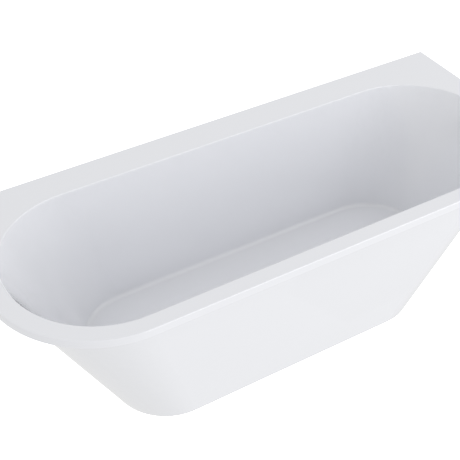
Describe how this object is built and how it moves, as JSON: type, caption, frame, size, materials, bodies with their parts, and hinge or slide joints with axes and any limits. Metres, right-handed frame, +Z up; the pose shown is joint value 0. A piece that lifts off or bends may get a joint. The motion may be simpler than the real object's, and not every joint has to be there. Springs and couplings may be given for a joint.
{
  "type": "freestanding bathtub",
  "caption": "Back-to-wall freestanding bath in white acrylic with rounded front corners, a bonded apron, adjustable feet and a knob-operated pop-up waste.",
  "frame": {"origin": "on the floor, under the centre of the bath's outline", "axes": "+X along the bath towards the overflow end, +Y towards the room's wall, +Z up"},
  "size_m": [1.7, 0.7, 0.58],
  "materials": {
    "white_acrylic": "gloss white sanitary acrylic",
    "glassfibre": "rough glassfibre laminate",
    "board": "particle board",
    "foam_core": "hard foam",
    "timber": "sawn softwood",
    "plywood": "plywood",
    "damping_pad": "embossed heavy rubber",
    "galvanised": "zinc-plated steel",
    "screw_zinc": "passivated zinc screws",
    "black_plastic": "moulded nylon",
    "foot_pad": "hard rubber",
    "chrome": "polished chrome",
    "gasket": "EPDM rubber",
    "white_pp": "moulded polypropylene",
    "grey_hose": "ribbed hose",
    "cable_sheath": "smooth cable sheath",
    "moulded_nylon": "acetal"
  },
  "bodies": {
    "tub": {"tub_shell": "white_acrylic", "glassfibre_backing": "glassfibre", "base_board": "board", "rim_core": "foam_core", "rear_batten": "timber", "apron": "white_acrylic", "apron_stiffener": "plywood", "sound_pads": "damping_pad", "frame_rail_front": "galvanised", "frame_rail_rear": "galvanised", "frame_cross_left": "galvanised", "frame_cross_middle": "galvanised", "frame_cross_right": "galvanised", "rail_end_caps": "black_plastic", "frame_screws": "screw_zinc", "apron_brackets_front": "galvanised", "apron_brackets_end": "galvanised", "apron_bracket_screws": "screw_zinc", "wall_bracket_left": "galvanised", "wall_bracket_right": "galvanised", "wall_bracket_screws": "screw_zinc", "foot_bushes": "galvanised", "waste_flange": "chrome", "waste_gasket_upper": "gasket", "waste_gasket_lower": "gasket", "waste_body": "white_pp", "overflow_gasket_inner": "gasket", "overflow_gasket_outer": "gasket", "overflow_flange": "chrome", "overflow_body": "white_pp", "overflow_duct": "white_pp", "overflow_hose": "grey_hose", "overflow_cable": "cable_sheath", "trap_body": "white_pp", "trap_cleaning_cap": "white_pp", "trap_nuts": "white_pp", "outlet_pipe": "white_pp"},
    "knob": {"overflow_knob": "chrome", "knob_spindle": "moulded_nylon"},
    "plug": {"plug": "chrome", "plug_stem": "screw_zinc", "plug_seal": "gasket"},
    "lever": {"lift_lever": "moulded_nylon"},
    "foot_front_left": {"foot_stud_front_left": "galvanised", "foot_pad_front_left": "foot_pad"},
    "nut_front_left": {"foot_nut_front_left": "screw_zinc"},
    "foot_front_right": {"foot_stud_front_right": "galvanised", "foot_pad_front_right": "foot_pad"},
    "nut_front_right": {"foot_nut_front_right": "screw_zinc"},
    "foot_rear_left": {"foot_stud_rear_left": "galvanised", "foot_pad_rear_left": "foot_pad"},
    "nut_rear_left": {"foot_nut_rear_left": "screw_zinc"},
    "foot_rear_right": {"foot_stud_rear_right": "galvanised", "foot_pad_rear_right": "foot_pad"},
    "nut_rear_right": {"foot_nut_rear_right": "screw_zinc"},
    "foot_middle": {"foot_stud_middle": "galvanised", "foot_pad_middle": "foot_pad"},
    "nut_middle": {"foot_nut_middle": "screw_zinc"}
  },
  "joints": [
    {"name": "knob_turn", "type": "hinge", "parent": "tub", "child": "knob", "pos_m": [0.76492, -0.028, 0.52], "axis": [-0.888, 0, 0.4599], "range_deg": [0, 75.01]},
    {"name": "plug_lift", "type": "slide", "parent": "tub", "child": "plug", "axis": [0, 0, 1], "range_m": [0, 0.01]},
    {"name": "lever_swing", "type": "hinge", "parent": "tub", "child": "lever", "pos_m": [0.022, -0.028, 0.148], "axis": [0, 1, 0], "range_deg": [0, 25.63]},
    {"name": "nut_turn_front_left", "type": "hinge", "parent": "tub", "child": "nut_front_left", "pos_m": [-0.43, -0.12284, 0.1327], "axis": [0, 0, 1], "range_deg": [-3601, 1201]},
    {"name": "foot_height_front_left", "type": "slide", "parent": "tub", "child": "foot_front_left", "axis": [0, 0, 1], "range_m": [-0.015, 0.005]},
    {"name": "nut_turn_front_right", "type": "hinge", "parent": "tub", "child": "nut_front_right", "pos_m": [0.43, -0.12284, 0.1327], "axis": [0, 0, 1], "range_deg": [-3601, 1201]},
    {"name": "foot_height_front_right", "type": "slide", "parent": "tub", "child": "foot_front_right", "axis": [0, 0, 1], "range_m": [-0.015, 0.005]},
    {"name": "nut_turn_rear_left", "type": "hinge", "parent": "tub", "child": "nut_rear_left", "pos_m": [-0.43, 0.15, 0.1327], "axis": [0, 0, 1], "range_deg": [-3601, 1201]},
    {"name": "foot_height_rear_left", "type": "slide", "parent": "tub", "child": "foot_rear_left", "axis": [0, 0, 1], "range_m": [-0.015, 0.005]},
    {"name": "nut_turn_rear_right", "type": "hinge", "parent": "tub", "child": "nut_rear_right", "pos_m": [0.43, 0.15, 0.1327], "axis": [0, 0, 1], "range_deg": [-3601, 1201]},
    {"name": "foot_height_rear_right", "type": "slide", "parent": "tub", "child": "foot_rear_right", "axis": [0, 0, 1], "range_m": [-0.015, 0.005]},
    {"name": "nut_turn_middle", "type": "hinge", "parent": "tub", "child": "nut_middle", "pos_m": [-0.12, 0.01358, 0.1327], "axis": [0, 0, 1], "range_deg": [-3601, 1201]},
    {"name": "foot_height_middle", "type": "slide", "parent": "tub", "child": "foot_middle", "axis": [0, 0, 1], "range_m": [-0.015, 0.005]}
  ],
  "couplings": [
    {"joint": "knob_turn", "follows": "plug_lift", "rad_per_m": 130.9},
    {"joint": "lever_swing", "follows": "plug_lift", "rad_per_m": 44.695},
    {"joint": "nut_turn_front_left", "follows": "foot_height_front_left", "rad_per_m": 4188.8},
    {"joint": "nut_turn_front_right", "follows": "foot_height_front_right", "rad_per_m": 4188.8},
    {"joint": "nut_turn_rear_left", "follows": "foot_height_rear_left", "rad_per_m": 4188.8},
    {"joint": "nut_turn_rear_right", "follows": "foot_height_rear_right", "rad_per_m": 4188.8},
    {"joint": "nut_turn_middle", "follows": "foot_height_middle", "rad_per_m": 4188.8}
  ]
}
